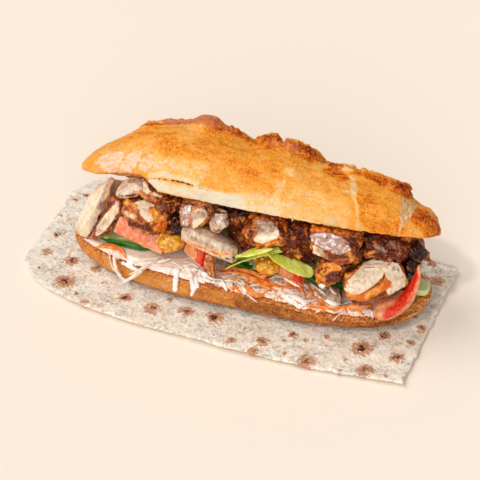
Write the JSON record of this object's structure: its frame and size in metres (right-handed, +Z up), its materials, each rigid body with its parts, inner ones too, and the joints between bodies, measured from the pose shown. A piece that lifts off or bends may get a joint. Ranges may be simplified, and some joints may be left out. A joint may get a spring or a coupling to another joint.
{
  "type": "shawarma sandwich",
  "caption": "Long crusty roll split into a thin base and a domed lid, filled with chopped grilled chicken, slaw, cucumber, tomato and lettuce, lying on a thin flatbread.",
  "frame": {"origin": "middle of the bounding box, on the flatbread's underside", "axes": "+X along the roll towards its blunt end, +Y away from the open front, +Z up"},
  "size_m": [0.27, 0.141, 0.0976],
  "materials": {
    "flatbread": "dry, speckled cream with toasted spots",
    "crust": "satin baked crust, golden brown",
    "chicken_pale": "moist white meat with browned edges",
    "chicken_roasted": "roasted, glossy with juice",
    "chicken_charred": "charred, rough",
    "tomato": "wet flesh and glossy red skin",
    "tomato_pulp": "wet amber seed jelly",
    "cucumber": "wet pale flesh with dark green skin",
    "lettuce": "crisp, slightly glossy",
    "onion": "glossy browned onion",
    "slaw": "dressed cabbage and carrot, glossy"
  },
  "bodies": {
    "root": {"chicken_back_end_left": "chicken_pale", "chicken_back_end_right": "chicken_roasted", "chicken_back_left": "chicken_roasted", "chicken_back_middle": "chicken_roasted", "chicken_back_middle_left": "chicken_pale", "chicken_back_middle_right": "chicken_roasted", "chicken_back_right": "chicken_pale", "chicken_charred_left": "chicken_charred", "chicken_charred_right": "chicken_charred", "chicken_crust_high": "chicken_roasted", "chicken_crusted_left": "chicken_roasted", "chicken_crusted_right": "chicken_roasted", "chicken_dark_high": "chicken_charred", "chicken_dark_middle": "chicken_roasted", "chicken_end_strip": "chicken_pale", "chicken_hooked_end": "chicken_roasted", "chicken_left_slice": "chicken_pale", "chicken_left_top": "chicken_pale", "chicken_long": "chicken_pale", "chicken_low_bit": "chicken_roasted", "chicken_pale_middle": "chicken_pale", "chicken_right_chunk": "chicken_pale", "chicken_right_high": "chicken_roasted", "chicken_saucy_bit": "chicken_pale", "chicken_saucy_left": "chicken_roasted", "chicken_saucy_right": "chicken_roasted", "chicken_under_flap": "chicken_roasted", "chicken_under_long": "chicken_roasted", "cucumber_back_left": "cucumber", "cucumber_back_right": "cucumber", "cucumber_end_right": "cucumber", "cucumber_front_left": "cucumber", "cucumber_front_middle": "cucumber", "cucumber_front_right": "cucumber", "flatbread": "flatbread", "lettuce_back": "lettuce", "lettuce_front_high": "lettuce", "lettuce_front_low": "lettuce", "lettuce_front_tip": "lettuce", "lettuce_under_meat": "lettuce", "onion_strip": "onion", "roll_base": "crust", "roll_lid": "crust", "slaw_bed": "slaw", "tomato_back_left": "tomato", "tomato_back_right": "tomato", "tomato_left": "tomato", "tomato_middle_left": "tomato", "tomato_middle_right": "tomato", "tomato_pulp_left": "tomato_pulp", "tomato_pulp_right": "tomato_pulp", "tomato_wedge": "tomato"}
  },
  "joints": []
}
